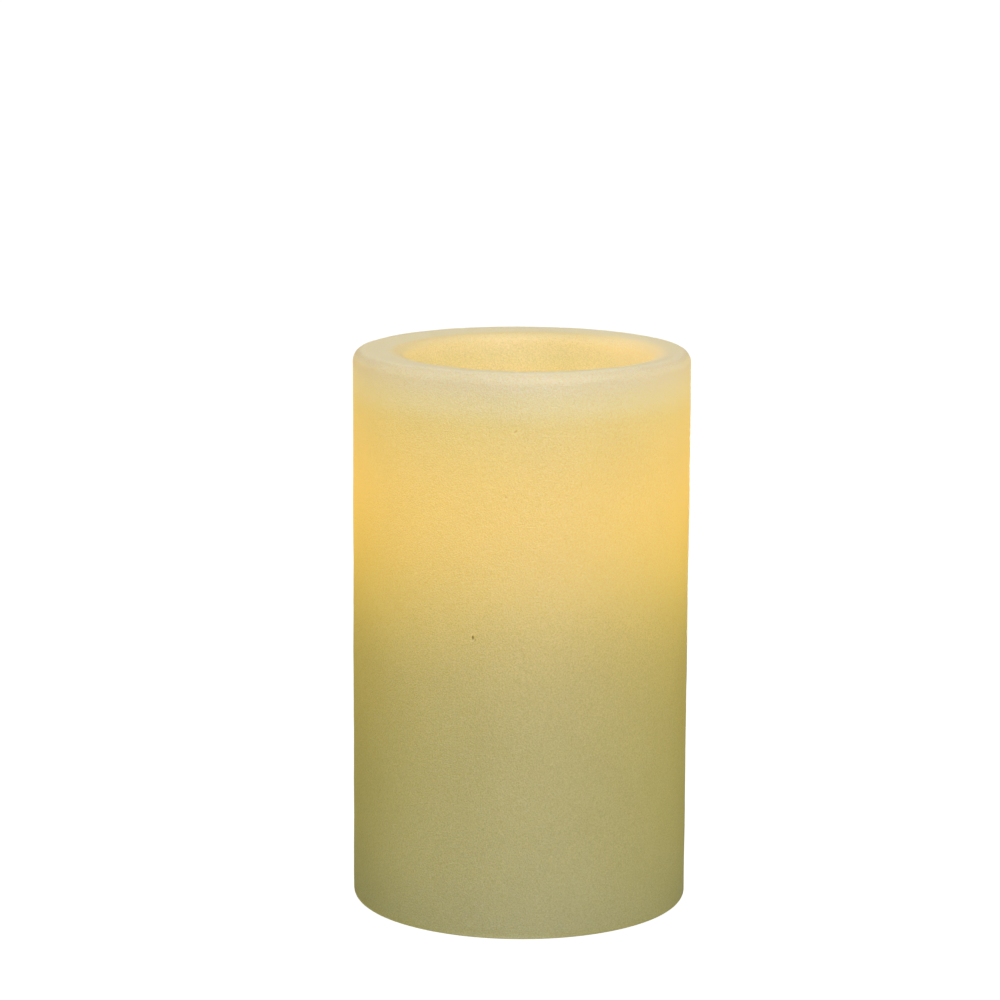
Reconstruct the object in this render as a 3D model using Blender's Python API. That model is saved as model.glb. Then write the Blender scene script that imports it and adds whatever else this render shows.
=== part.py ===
"""Flameless LED pillar candle: a real-wax shell over a two-cell battery module with a flickering LED.

Frame: +Z up, origin on the table plane at the pillar's axis. The switch is on the -Y side of the
underside and the battery door hinges on the +Y side. "Left" is -X and "right" is +X.
Lengths are in millimetres and become metres in point().
"""

import math

import bmesh
import bpy
from mathutils import Matrix, Vector

for old in list(bpy.data.objects):
    bpy.data.objects.remove(old, do_unlink=True)

METRES_PER_MM = 0.001

# ---------------------------------------------------------------- driving dimensions (mm)
GAP = 0.3  # air between neighbouring pieces
OVERRUN = 1.0  # how far a cutter runs past the face it opens
SIDES = (("left", -1), ("right", 1))

PILLAR_R = 76.2 / 2  # a 3 inch pillar
PILLAR_H = 127.0  # 5 inches tall
WEB_BOTTOM = 73.0  # underside of the wax web that the top well's floor is

PLATE_R = 33.2
PLATE_Z0, PLATE_Z1 = 0.8, 3.8
FRAME_Z1 = 5.0  # top of the raised frame the battery door shuts against

HOUSING_R, HOUSING_WALL = 28.4, 1.8
HOUSING_Z0, HOUSING_Z1 = PLATE_Z1 + GAP, 66.2
DECK_Z0 = 59.3
DECK_Z1 = DECK_Z0 + HOUSING_WALL
CAP_Z0, CAP_Z1 = HOUSING_Z1 + GAP, 68.5

DOOR_W, DOOR_Y0, DOOR_Y1 = 38.0, -7.8, 15.4
DOOR_Y = (DOOR_Y0 + DOOR_Y1) / 2
DOOR_Z0, DOOR_Z1 = 1.0, 3.4
HINGE_Y, HINGE_Z = 17.2, (DOOR_Z0 + DOOR_Z1) / 2
KNUCKLE_X0, KNUCKLE_X1, KNUCKLE_R = 12.0, 17.0, 1.1
TRUNNION_R = 0.55
LATCH_HALF = 3.2
LATCH_AXIS_Y, LATCH_AXIS_Z = -5.6, 5.8

STRIP_T = 0.4  # nickel contact strip
DOOR_STRIP_Z0 = DOOR_Z1 + GAP
DOOR_STRIP_Z1 = DOOR_STRIP_Z0 + STRIP_T
DOOR_BUTTON_Z1 = 5.1
TOP_STRIP_Z1 = DECK_Z0 - GAP
TOP_STRIP_Z0 = TOP_STRIP_Z1 - STRIP_T

CELL_R, CELL_LEN = 7.1, 50.3  # AA size
CELL_A_Z, CELL_B_Z = 7.5, DOOR_BUTTON_Z1 + GAP
BAY_X, BAY_Y, BAY_R, BAY_WALL = 7.9, 4.0, CELL_R + 0.5, 1.6

SCREW_CIRCLE_R = 24.6  # radius of the circle the three base screws stand on
SCREW_SPOTS = [
    (SCREW_CIRCLE_R * math.cos(math.radians(a)), SCREW_CIRCLE_R * math.sin(math.radians(a)))
    for a in (90.0, 210.0, 330.0)
]

SWITCH_Y = -17.0
SWITCH_REST_X = -2.0  # ON; OFF is at 0 and TIMER at +2
KNOB_Z0, KNOB_Z1 = 4.1, 4.8  # the knob's flange
BOARD_Z0, BOARD_Z1 = 8.9, 10.1
ON_BOARD = BOARD_Z1 + GAP  # where the components stand
BOARD_POST_X = 10.3

POST_R, POST_BORE_R, POST_TOP = 7.6, 6.0, 82.0
LED_LEDGE_Z = POST_TOP - 1.0  # step inside the post that the LED's flange rests on
LED_SEAT_Z = LED_LEDGE_Z + GAP


def point(x, y, z):
    return Vector((x, y, z)) * METRES_PER_MM if False else Vector(
        (x * METRES_PER_MM, y * METRES_PER_MM, z * METRES_PER_MM)
    )


HINGE_ORIGIN = point(0, HINGE_Y, HINGE_Z)
SWITCH_ORIGIN = point(SWITCH_REST_X, SWITCH_Y, 5.0)


# ---------------------------------------------------------------- materials
def make_material(name, *, rgb, rough, metal=0.0):
    made = bpy.data.materials.new(name)
    made.use_nodes = True
    inputs = made.node_tree.nodes["Principled BSDF"].inputs
    inputs["Base Color"].default_value = (*rgb, 1.0)
    inputs["Roughness"].default_value = rough
    inputs["Metallic"].default_value = metal
    return made


WAX = make_material("ivory_wax", rgb=(0.84, 0.76, 0.52), rough=0.55)
GLUE = make_material("hot_melt", rgb=(0.78, 0.72, 0.55), rough=0.35)
IVORY = make_material("ivory_abs", rgb=(0.80, 0.74, 0.56), rough=0.45)
BLACK = make_material("black_abs", rgb=(0.03, 0.03, 0.03), rough=0.5)
STEEL = make_material("zinc_steel", rgb=(0.62, 0.63, 0.65), rough=0.3, metal=1.0)
NICKEL = make_material("nickel_strip", rgb=(0.70, 0.67, 0.60), rough=0.25, metal=1.0)
BOARD = make_material("board_green", rgb=(0.03, 0.20, 0.07), rough=0.4)
FLAME = make_material("flame_pe", rgb=(0.95, 0.78, 0.45), rough=0.4)
EPOXY = make_material("led_epoxy", rgb=(0.95, 0.80, 0.50), rough=0.15)
CELL_SLEEVE = make_material("cell_sleeve", rgb=(0.10, 0.22, 0.42), rough=0.3)
CHIP = make_material("chip_epoxy", rgb=(0.02, 0.02, 0.02), rough=0.5)
CAP_SLEEVE = make_material("cap_sleeve", rgb=(0.04, 0.05, 0.12), rough=0.3)
RESISTOR = make_material("resistor_body", rgb=(0.55, 0.42, 0.25), rough=0.5)
HELPER = make_material("helper", rgb=(0.5, 0.5, 0.5), rough=0.5)


# ---------------------------------------------------------------- outlines
def arc(center_x, center_y, radius, start, end, steps):
    """Points of an arc, with its angles in degrees."""
    angles = [math.radians(start + (end - start) * k / steps) for k in range(steps + 1)]
    return [(center_x + radius * math.cos(a), center_y + radius * math.sin(a)) for a in angles]


def disc(center_x, center_y, radius, segments):
    angles = [2 * math.pi * k / segments for k in range(segments)]
    return [(center_x + radius * math.cos(a), center_y + radius * math.sin(a)) for a in angles]


def rounded_rect(x, y, width, height, radius, steps=4):
    """Outline of a rounded rectangle centred at x, y, anticlockwise."""
    out = []
    for side_x, side_y, start in ((1, 1, 0), (-1, 1, 90), (-1, -1, 180), (1, -1, 270)):
        corner_x = x + side_x * (width / 2 - radius)
        corner_y = y + side_y * (height / 2 - radius)
        out += arc(corner_x, corner_y, radius, start, start + 90, steps)
    return out


def rect(x0, x1, y0, y1):
    return [(x1, y1), (x0, y1), (x0, y0), (x1, y0)]


def rect_at(x, y, half_x, half_y):
    return rect(x - half_x, x + half_x, y - half_y, y + half_y)


def shifted(section, shift):
    """Gives every (radius, z) point the same shift, for turned()."""
    return [(r, z, shift) for r, z in section]


# ---------------------------------------------------------------- solids
# Each function adds to the bmesh passed as shape, or starts a new one, and returns it.
def ring(shape, radius, z, segments, x=0.0, y=0.0):
    return [shape.verts.new(point(*p, z)) for p in disc(x, y, radius, segments)]


def turned(section, segments, x=0.0, y=0.0, shape=None):
    """Turns (radius, z[, shift]) points about the vertical through x, y.

    Radius 0 makes a pole; a section with no pole is closed into a ring. shift moves that turn
    along X.
    """
    shape = shape or bmesh.new()
    rings = []
    for station in section:
        radius, z, shift = (*station, 0.0)[:3]
        if radius == 0:
            rings.append([shape.verts.new(point(x + shift, y, z))])
        else:
            rings.append(ring(shape, radius, z, segments, x + shift, y))
    pairs = list(zip(rings[:-1], rings[1:]))
    if len(rings[0]) > 1 and len(rings[-1]) > 1:
        pairs.append((rings[-1], rings[0]))
    for a, b in pairs:
        for k in range(segments):
            n = (k + 1) % segments
            face = []
            for v in (a[k % len(a)], a[n % len(a)], b[n % len(b)], b[k % len(b)]):
                if v not in face:
                    face.append(v)
            shape.faces.new(face)
    return shape


def lofted(shape, rings):
    """Skins equal rings in order and closes the two ends with flat faces."""
    for a, b in zip(rings[:-1], rings[1:]):
        for k in range(len(a)):
            n = (k + 1) % len(a)
            shape.faces.new([a[k], a[n], b[n], b[k]])
    shape.faces.new(rings[0])
    shape.faces.new(rings[-1])
    return shape


def extruded(corners, offset, shape):
    shape = shape or bmesh.new()
    base = shape.faces.new([shape.verts.new(c) for c in corners])
    made = bmesh.ops.extrude_face_region(shape, geom=[base], use_keep_orig=True)
    far = [v for v in made["geom"] if isinstance(v, bmesh.types.BMVert)]
    bmesh.ops.translate(shape, verts=far, vec=offset)
    return shape


def prism(outline, z0, z1, shape=None):
    """Extrudes an (x, y) outline along Z."""
    return extruded([point(x, y, z0) for x, y in outline], point(0, 0, z1 - z0), shape)


def side_prism(outline, x0, x1, shape=None):
    """Extrudes a (y, z) outline along X."""
    return extruded([point(x0, y, z) for y, z in outline], point(x1 - x0, 0, 0), shape)


def swept(path, radius, sides=6):
    """A round wire along path, with flat ends."""
    shape = bmesh.new()
    centers = [point(*p) for p in path]
    last = len(centers) - 1
    tangents = [
        (centers[min(i + 1, last)] - centers[max(i - 1, 0)]).normalized()
        for i in range(last + 1)
    ]
    up = Vector((0, 0, 1)) if abs(tangents[0].z) < 0.9 else Vector((1, 0, 0))
    normal = (up - up.dot(tangents[0]) * tangents[0]).normalized()
    rings = []
    for center, tangent in zip(centers, tangents):
        # The previous normal is carried along, so the wire does not twist.
        normal = (normal - normal.dot(tangent) * tangent).normalized()
        across = tangent.cross(normal)
        rings.append(
            [
                shape.verts.new(center + radius * METRES_PER_MM * (c * normal + s * across))
                for c, s in disc(0, 0, 1, sides)
            ]
        )
    return lofted(shape, rings)


def smooth_path(knots, steps):
    """A Catmull-Rom curve through the knots."""
    knots = [Vector(k) for k in knots]
    knots = [2 * knots[0] - knots[1], *knots, 2 * knots[-1] - knots[-2]]
    out = []
    for i in range(1, len(knots) - 2):
        a, b, c, d = knots[i - 1 : i + 3]
        for k in range(steps):
            t = k / steps
            square = (2 * a - 5 * b + 4 * c - d) * t**2
            cube = (3 * b - a - 3 * c + d) * t**3
            out.append(0.5 * (2 * b + (c - a) * t + square + cube))
    return [tuple(v) for v in [*out, knots[-2]]]


# ---------------------------------------------------------------- objects
def place(name, shape, surface, origin=None):
    """The bmesh as an object. A given origin, such as a joint's axis, becomes the object's own."""
    bmesh.ops.recalc_face_normals(shape, faces=shape.faces)
    mesh = bpy.data.meshes.new(name)
    shape.to_mesh(mesh)
    shape.free()
    obj = bpy.data.objects.new(name, mesh)
    bpy.context.scene.collection.objects.link(obj)
    if origin is not None:
        mesh.transform(Matrix.Translation(-origin))
        obj.location = origin
    mesh.materials.append(surface)
    mesh.shade_smooth()
    mesh.set_sharp_from_angle(angle=math.radians(35.0))
    return obj


def boolean(obj, name, shape, operation):
    """Applies a tool body, kept as a wireframe helper out of the render."""
    tool = place(name, shape, HELPER)
    tool.hide_render = True
    tool.display_type = "WIRE"
    modifier = obj.modifiers.new(name, "BOOLEAN")
    modifier.operation = operation
    modifier.object = tool
    modifier.solver = "EXACT"


def join(obj, name, shape):
    boolean(obj, name, shape, "UNION")


def cut(obj, name, shape):
    boolean(obj, name, shape, "DIFFERENCE")


# ---------------------------------------------------------------- wax shell and glue
def build_wax_shell():
    edge_top, edge_bottom = 2.7, 1.5  # roundings of the outer edges
    rim_dish, rim_round = 0.6, 2.0  # the rim falls this much towards the well, then rounds over
    well_r, well_floor, well_round = 28.0, 78.0, 3.0
    well_shift = 1.5  # the poured well stands off the pillar's axis, towards +X
    post_hole_r = 8.6
    cavity_r = 29.0  # the bore that takes the battery module
    rebate_r, rebate_z = 33.6, PLATE_Z1 + GAP  # seat of the base plate

    rim_z = PILLAR_H - rim_dish - rim_round
    rim = arc(well_r + 2.0, rim_z, rim_round, 90, 180, 4)
    floor = arc(well_r - 3.6, well_floor + well_round, well_round, 0, -90, 3)
    section = [
        (rebate_r, 0.0),
        *arc(PILLAR_R - edge_bottom, edge_bottom, edge_bottom, -90, 0, 3),
        *arc(PILLAR_R - edge_top, PILLAR_H - edge_top, edge_top, 0, 90, 5),
        *shifted(rim, well_shift),
        (well_r - 0.4, 100.0, 0.9 * well_shift),
        *shifted(floor, 0.8 * well_shift),
        (post_hole_r + 0.5, well_floor),
        (post_hole_r, well_floor - 0.5),
        (post_hole_r, WEB_BOTTOM),
        (cavity_r - 1.0, WEB_BOTTOM),
        (cavity_r, WEB_BOTTOM - 1.0),
        (cavity_r, rebate_z),
        (rebate_r, rebate_z),
    ]
    place("wax_shell", turned(section, 72), WAX)


def build_adhesive_ring():
    """Hot-melt bead between the top cap and the wax web."""
    bottom, top = CAP_Z1 + GAP, WEB_BOTTOM - GAP
    section = [
        (15.2, bottom), (22.8, bottom), (23.4, 69.6), (23.0, 71.6),
        (21.8, top), (16.2, top), (15.0, 71.6), (14.6, 69.6),
    ]
    place("adhesive_ring", turned(section, 40), GLUE)


# ---------------------------------------------------------------- battery housing and top cap
def build_housing():
    """Can with a deck near its top, two cell bays below the deck and three screw bosses."""
    inner_r = HOUSING_R - HOUSING_WALL
    section = [
        (0, DECK_Z0),
        (inner_r, DECK_Z0),
        (inner_r, HOUSING_Z0),
        (HOUSING_R, HOUSING_Z0),
        (HOUSING_R, HOUSING_Z1),
        (inner_r, HOUSING_Z1),
        (inner_r, DECK_Z1),
        (0, DECK_Z1),
    ]
    housing = place("battery_housing", turned(section, 48), IVORY)
    for side, sign in SIDES:
        bay = disc(sign * BAY_X, BAY_Y, BAY_R + BAY_WALL, 36)
        join(housing, f"add_bay_{side}", prism(bay, FRAME_Z1 + GAP, DECK_Z0 + 0.8))

    boss_r, boss_top = 3.0, 24.0
    pilot_r, pilot_top = 1.6, 20.0
    bosses, cuts = bmesh.new(), bmesh.new()
    for x, y in SCREW_SPOTS:
        prism(disc(x, y, boss_r, 20), HOUSING_Z0 + 0.05, boss_top, bosses)
        prism(disc(x, y, pilot_r, 16), HOUSING_Z0 - 2 * OVERRUN, pilot_top, cuts)
    join(housing, "add_bosses", bosses)
    for _, sign in SIDES:
        prism(disc(sign * BAY_X, BAY_Y, BAY_R, 36), FRAME_Z1 - OVERRUN, DECK_Z0, cuts)
    # the wires' way through the deck
    wire_way = rounded_rect(0, -12.0, 27, 6.5, 2.5)
    prism(wire_way, DECK_Z0 - 2 * OVERRUN, DECK_Z1 + 2 * OVERRUN, cuts)
    cut(housing, "cut_housing", cuts)

    slots = bmesh.new()
    for _, sign in SIDES:
        slot = rect(sign * BAY_X - 2.0, sign * BAY_X + 2.0, 8.0, 9.4)
        prism(slot, DECK_Z0 - OVERRUN, DECK_Z1 + OVERRUN, slots)
    cut(housing, "cut_tab_slots", slots)


def build_top_cap():
    """Cap with the hollow LED post on it and a spigot ring that drops into the housing."""
    cap_r = HOUSING_R - 0.2
    led_hole_r, led_flange_r = 2.3, 3.3
    post_roof = POST_TOP - 2.4
    spigot_in, spigot_out, spigot_z = 24.6, 26.2, 62.5
    section = [
        (cap_r, CAP_Z0),
        (cap_r, CAP_Z1 - 0.5),
        (HOUSING_R - 0.7, CAP_Z1),
        (8.8, CAP_Z1),
        (POST_R + 0.3, 68.9),
        (POST_R, 69.7),
        (POST_R, 79.6),
        (POST_R + 0.25, 80.1),  # a low bead round the post
        (POST_R, 80.6),
        (POST_R, POST_TOP - 0.5),
        (POST_R - 0.5, POST_TOP),
        (led_flange_r, POST_TOP),
        (led_flange_r, LED_LEDGE_Z),
        (led_hole_r, LED_LEDGE_Z),
        (led_hole_r, post_roof),
        (POST_BORE_R, post_roof),
        (POST_BORE_R, CAP_Z0),
        (spigot_in, CAP_Z0),
        (spigot_in, spigot_z),
        (spigot_out, spigot_z),
        (spigot_out, CAP_Z0),
    ]
    place("top_cap", turned(section, 40), IVORY)


# ---------------------------------------------------------------- flame and LED
# (radius, z): the outer skin from its open foot to below the tip, the inner from below its pole
FLAME_OUTER = [
    (9.4, 78.4), (9.4, 82.2), (10.2, 84.6), (10.7, 88.0), (10.4, 91.6), (9.4, 95.2),
    (7.9, 98.8), (6.1, 102.2), (4.4, 105.2), (2.9, 107.9), (1.6, 110.1), (0.6, 111.5),
]
FLAME_INNER = [
    (3.2, 105.2), (5.0, 102.0), (6.8, 98.6), (8.3, 95.0), (9.3, 91.4),
    (9.6, 88.0), (9.1, 84.8), (8.2, 82.4), (8.2, 78.4),
]
FLAME_TIP_Z, FLAME_INNER_TIP_Z = 111.8, 107.2


def leaning(section):
    """Shifts the flame's stations so that its tip leans a little towards +X."""
    lean, lean_from, lean_height = 1.3, 84.0, 28.0
    out = []
    for r, z in section:
        t = max(0.0, (z - lean_from) / lean_height)
        out.append((r, z, lean * t * t))
    return out


def build_flame():
    """Flame-shaped diffuser over the LED."""
    shape = turned(leaning([*FLAME_OUTER, (0, FLAME_TIP_Z)]), 28)
    turned(leaning([(0, FLAME_INNER_TIP_Z), *FLAME_INNER]), 28, shape=shape)
    # The two skins meet at the open collar: their foot loops are bridged.
    feet = [e for e in shape.edges if e.is_boundary]
    bmesh.ops.bridge_loops(shape, edges=feet)
    place("flame_bulb", shape, FLAME)


def build_led():
    body_r, flange_r, dome_z = 2.5, 2.9, 87.4
    section = [
        (0, LED_SEAT_Z),
        (flange_r, LED_SEAT_Z),
        (flange_r, LED_SEAT_Z + 1.0),
        (body_r, LED_SEAT_Z + 1.0),
        *arc(0, dome_z, body_r, 0, 90, 5)[:-1],
        (0, dome_z + body_r),
    ]
    place("led_bulb", turned(section, 20), EPOXY)
    lead_x, lead_half = 1.27, 0.25
    for name, sign, foot in (("led_lead_anode", 1, 70.0), ("led_lead_cathode", -1, 71.0)):
        lead = rect_at(sign * lead_x, 0.0, lead_half, lead_half)
        place(name, prism(lead, foot, LED_SEAT_Z - GAP), STEEL)


# ---------------------------------------------------------------- base plate
def build_base_plate():
    shape = bmesh.new()
    profile = [(PLATE_R - 0.6, PLATE_Z0), (PLATE_R, PLATE_Z0 + 0.6), (PLATE_R, PLATE_Z1)]
    lofted(shape, [ring(shape, r, z, 56) for r, z in profile])
    plate = place("base_plate", shape, IVORY)

    added = prism(rounded_rect(0, DOOR_Y, 41.0, 27.0, 6.0), PLATE_Z1 - 0.6, FRAME_Z1)
    for _, sign in SIDES:
        post = disc(sign * BOARD_POST_X, SWITCH_Y, 2.3, 16)
        prism(post, PLATE_Z1 - 0.6, BOARD_Z0 - GAP, added)
    join(plate, "add_frame_and_posts", added)

    # the door's seat, up to the frame's ledge
    seat = rounded_rect(0, DOOR_Y, DOOR_W + 2 * GAP, DOOR_Y1 - DOOR_Y0 + 2 * GAP, 2.8)
    cut(plate, "cut_door_seat", prism(seat, PLATE_Z0 - OVERRUN, PLATE_Z1))
    # the way in for the cells, through the ledge
    cell_way = rounded_rect(0, BAY_Y, 33.0, 17.2, 8.5, 6)
    cut(plate, "cut_cell_way", prism(cell_way, PLATE_Z1 - 1.5, FRAME_Z1 + OVERRUN))
    # room for the latch's head, which leaves a catch below it
    latch_room = rect(-4.6, 4.6, -9.4, -2.5)
    cut(plate, "cut_latch_room", prism(latch_room, 2.9, FRAME_Z1 + OVERRUN))
    cut_plate_openings(plate)
    cut_plate_hinge(plate)
    add_switch_marks(plate)


def cut_plate_openings(plate):
    below, above = PLATE_Z0 - OVERRUN, PLATE_Z1 + OVERRUN
    # a shallow hollow in the underside, in front of the latch on its -Y side
    cuts = prism(rounded_rect(0, -9.6, 9.6, 5.0, 2.3), below, 2.2)
    for _, sign in SIDES:
        x0, x1 = sorted((sign * (KNUCKLE_X0 - GAP), sign * (KNUCKLE_X1 + GAP)))
        knuckle_room = rect(x0, x1, 14.0, HINGE_Y + KNUCKLE_R + 0.4)
        prism(knuckle_room, below, FRAME_Z1 + OVERRUN, cuts)
        pilot = disc(sign * BOARD_POST_X, SWITCH_Y, 1.15, 12)
        prism(pilot, 4.4, BOARD_Z0 + OVERRUN, cuts)
    for x, y in SCREW_SPOTS:
        prism(disc(x, y, 1.7, 16), below, above, cuts)
    prism(rounded_rect(0, SWITCH_Y, 7.9, 3.8, 0.9, 2), below, above, cuts)
    cut(plate, "cut_openings", cuts)

    cuts = bmesh.new()
    for x, y in SCREW_SPOTS:
        prism(disc(x, y, 3.1, 20), below, 2.4, cuts)
    prism(rounded_rect(0, SWITCH_Y, 12.6, 7.4, 3.0), below, 1.8, cuts)
    cut(plate, "cut_counterbores", cuts)


def cut_plate_hinge(plate):
    cuts = bmesh.new()
    for _, sign in SIDES:
        x0, x1 = sorted((sign * (KNUCKLE_X0 - 1.4), sign * (KNUCKLE_X1 + 1.4)))
        side_prism(disc(HINGE_Y, HINGE_Z, TRUNNION_R + GAP, 12), x0, x1, cuts)
    cut(plate, "cut_trunnion_holes", cuts)
    # relief along the hinge side, inside the arc that the door's edge swings through
    relief = [(17.98, -1.0), (14.0, 3.63), (12.5, 3.63), (12.5, -1.0)]
    half = DOOR_W / 2 + 0.2
    cut(plate, "cut_hinge_relief", side_prism(relief, -half, half))


def add_switch_marks(plate):
    """Raised marks beside the switch: a bar, a ring and a dial for its three positions."""
    marks_y, pitch = -24.2, 5.0
    bottom, top = PLATE_Z0 - 0.25, PLATE_Z0 + 0.4
    marks = prism(rect_at(-pitch, marks_y, 0.3, 1.2), bottom, top)
    for x, outer, inner in ((0.0, 1.2, 0.75), (pitch, 1.35, 0.95)):
        section = [(inner, top), (inner, bottom), (outer, bottom), (outer, top)]
        turned(section, 20, x, marks_y, marks)
    join(plate, "add_switch_marks", marks)
    hands = [
        (5.2, -24.4), (5.2, -23.45), (4.8, -23.45), (4.8, -24.0), (4.25, -24.0), (4.25, -24.4),
    ]
    join(plate, "add_dial_hands", prism(hands, PLATE_Z0 - 0.2, PLATE_Z0 + 0.35))


# ---------------------------------------------------------------- battery door
def build_door():
    """The door on its trunnions, with the leg that carries the latch."""
    outline = rounded_rect(0, DOOR_Y, DOOR_W, DOOR_Y1 - DOOR_Y0, 2.5)
    door = place("battery_door", prism(outline, DOOR_Z0, DOOR_Z1), IVORY, HINGE_ORIGIN)
    bevel = door.modifiers.new("edge_break", "BEVEL")
    bevel.width = 0.45 * METRES_PER_MM
    bevel.segments = 1
    bevel.limit_method = "ANGLE"
    bevel.angle_limit = math.radians(40.0)
    bevel.use_clamp_overlap = True

    knuckle = [
        *arc(HINGE_Y, HINGE_Z, KNUCKLE_R, -90, 90, 6),
        (14.2, HINGE_Z + KNUCKLE_R),
        (14.2, HINGE_Z - 0.7),
        (15.2, HINGE_Z - KNUCKLE_R + 0.15),
    ]
    pin = disc(HINGE_Y, HINGE_Z, TRUNNION_R, 12)
    for side, sign in SIDES:
        x0, x1 = sorted((sign * KNUCKLE_X0, sign * KNUCKLE_X1))
        join(door, f"add_knuckle_{side}", side_prism(knuckle, x0, x1))
        join(door, f"add_trunnion_{side}", side_prism(pin, x0 - 1.0, x1 + 1.0))
    leg = rect(-LATCH_HALF, LATCH_HALF, -5.5, -4.7)
    join(door, "add_latch_leg", prism(leg, DOOR_Z1 - 0.8, 6.2))

    notch = rect(-LATCH_HALF - 0.5, LATCH_HALF + 0.5, -9.0, -5.6)
    cuts = prism(notch, DOOR_Z0 - OVERRUN, DOOR_Z1 + OVERRUN)
    for k in range(4):
        groove = rounded_rect(0, 6.0 + 1.6 * k, 12.0, 0.8, 0.39, 2)
        prism(groove, DOOR_Z0 - OVERRUN, DOOR_Z0 + 0.4, cuts)
    cut(door, "cut_door", cuts)


# (y, z) outline of the sprung tongue at the door's free edge
LATCH_OUTLINE = [
    (-6.1, 1.0), (-6.1, 2.2), (-6.6, 2.7), (-6.6, 5.0), (-6.2, 5.4),
    (-5.8, 5.4), (-5.8, 6.2), (-6.9, 6.2), (-7.3, 5.8), (-7.3, 3.8),
    (-7.85, 3.5), (-7.85, 3.2), (-7.4, 3.0), (-7.4, 1.4), (-7.0, 1.0),
]


def build_latch():
    tongue = side_prism(LATCH_OUTLINE, -LATCH_HALF, LATCH_HALF)
    place("door_latch", tongue, IVORY, point(0, LATCH_AXIS_Y, LATCH_AXIS_Z))


# ---------------------------------------------------------------- cells and contacts
def contact_spring(name, x, foot_z, tip_z, turns, origin=None):
    """Conical spring: a flat part-turn at its foot, then a rise or fall to its tip."""
    foot_r, tip_r, wire_r = 3.9, 2.4, 0.35
    flat, per_turn = 0.75, 12
    inset = wire_r if tip_z > foot_z else -wire_r
    start, end = foot_z + inset, tip_z - inset
    path = []
    for k in range(int(round((turns + flat) * per_turn)) + 1):
        turn = k / per_turn
        climb = max(0.0, (turn - flat) / turns)
        angle = 2 * math.pi * turn
        r = foot_r + (tip_r - foot_r) * climb
        z = start + (end - start) * climb
        path.append((x + r * math.cos(angle), BAY_Y + r * math.sin(angle), z))
    place(name, swept(path, wire_r), STEEL, origin)


def build_door_contact():
    """Bridge contact on the door: strip, button under cell B and spring under cell A."""
    width = 8.6
    outline = rounded_rect(0, BAY_Y, 2 * BAY_X + width, width, 4.2)
    strip = prism(outline, DOOR_STRIP_Z0, DOOR_STRIP_Z1)
    strip = place("door_contact_plate", strip, NICKEL, HINGE_ORIGIN)
    button = [
        (0, 3.9), (2.9, 3.9), (2.6, 4.3), (1.9, 5.0), (1.6, DOOR_BUTTON_Z1), (0, DOOR_BUTTON_Z1),
    ]
    join(strip, "add_door_button", turned(button, 16, BAY_X, BAY_Y))
    foot, tip = DOOR_STRIP_Z1 + GAP, CELL_A_Z - GAP
    contact_spring("door_contact_spring", -BAY_X, foot, tip, 2.5, HINGE_ORIGIN)


# (radius, z above the flat end), up to the nose
CELL_SECTION = [
    (0, 0.0), (4.6, 0.0), (4.9, 0.25), (6.3, 0.25), (CELL_R, 0.9), (CELL_R, 48.3),
    (6.7, 48.9), (5.2, 49.1), (2.75, 49.1), (2.75, 50.0), (2.45, CELL_LEN), (0, CELL_LEN),
]


def build_cells():
    """Cell A stands nose up on the left, cell B nose down on the right."""
    nose_up = [(r, CELL_A_Z + z) for r, z in CELL_SECTION]
    nose_down = [(r, CELL_B_Z + CELL_LEN - z) for r, z in CELL_SECTION]
    place("cell_a", turned(nose_up, 32, -BAY_X, BAY_Y), CELL_SLEEVE)
    place("cell_b", turned(nose_down, 32, BAY_X, BAY_Y), CELL_SLEEVE)


def top_contact(name, x):
    """Strip under the deck with a round pad and a tab up through the deck's slot."""
    tab_y, tab_top = 9.0, 64.0
    outline = [
        (0.2, TOP_STRIP_Z0),
        (tab_y, TOP_STRIP_Z0),
        (tab_y, tab_top),
        (tab_y - STRIP_T, tab_top),
        (tab_y - STRIP_T, TOP_STRIP_Z1),
        (0.2, TOP_STRIP_Z1),
    ]
    contact = place(name, side_prism(outline, x - 1.5, x + 1.5), NICKEL)
    pad = prism(disc(x, BAY_Y, 4.4, 20), TOP_STRIP_Z0 + 0.02, TOP_STRIP_Z1 - 0.02)
    join(contact, f"add_pad_{name}", pad)
    return contact


def build_top_contacts():
    positive = top_contact("positive_contact", -BAY_X)
    button = [(0, 58.8), (2.7, 58.8), (2.5, 58.5), (1.8, 58.1), (0, 58.1)]
    join(positive, "add_button_positive_contact", turned(button, 16, -BAY_X, BAY_Y))
    top_contact("negative_contact_plate", BAY_X)
    foot, tip = TOP_STRIP_Z0 - GAP, CELL_B_Z + CELL_LEN + GAP
    contact_spring("negative_spring", BAY_X, foot, tip, 2.0)


# ---------------------------------------------------------------- circuit board and components
def build_board():
    outline = rounded_rect(0, SWITCH_Y, 25.0, 11.0, 1.0, 2)
    board = place("circuit_board", prism(outline, BOARD_Z0, BOARD_Z1), BOARD)
    cuts = bmesh.new()
    for _, sign in SIDES:
        hole = disc(sign * BOARD_POST_X, SWITCH_Y, 1.2, 14)
        prism(hole, BOARD_Z0 - OVERRUN, BOARD_Z1 + OVERRUN, cuts)
    cut(board, "cut_board_holes", cuts)


# (distance into the chip, height above the board's parts level) of one bent leg
CHIP_LEG = [
    (0.4, 0.75), (-0.6, 0.75), (-0.6, 0.0), (-1.1, 0.0),
    (-1.1, 0.25), (-0.85, 0.25), (-0.85, 1.0), (0.4, 1.0),
]


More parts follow.
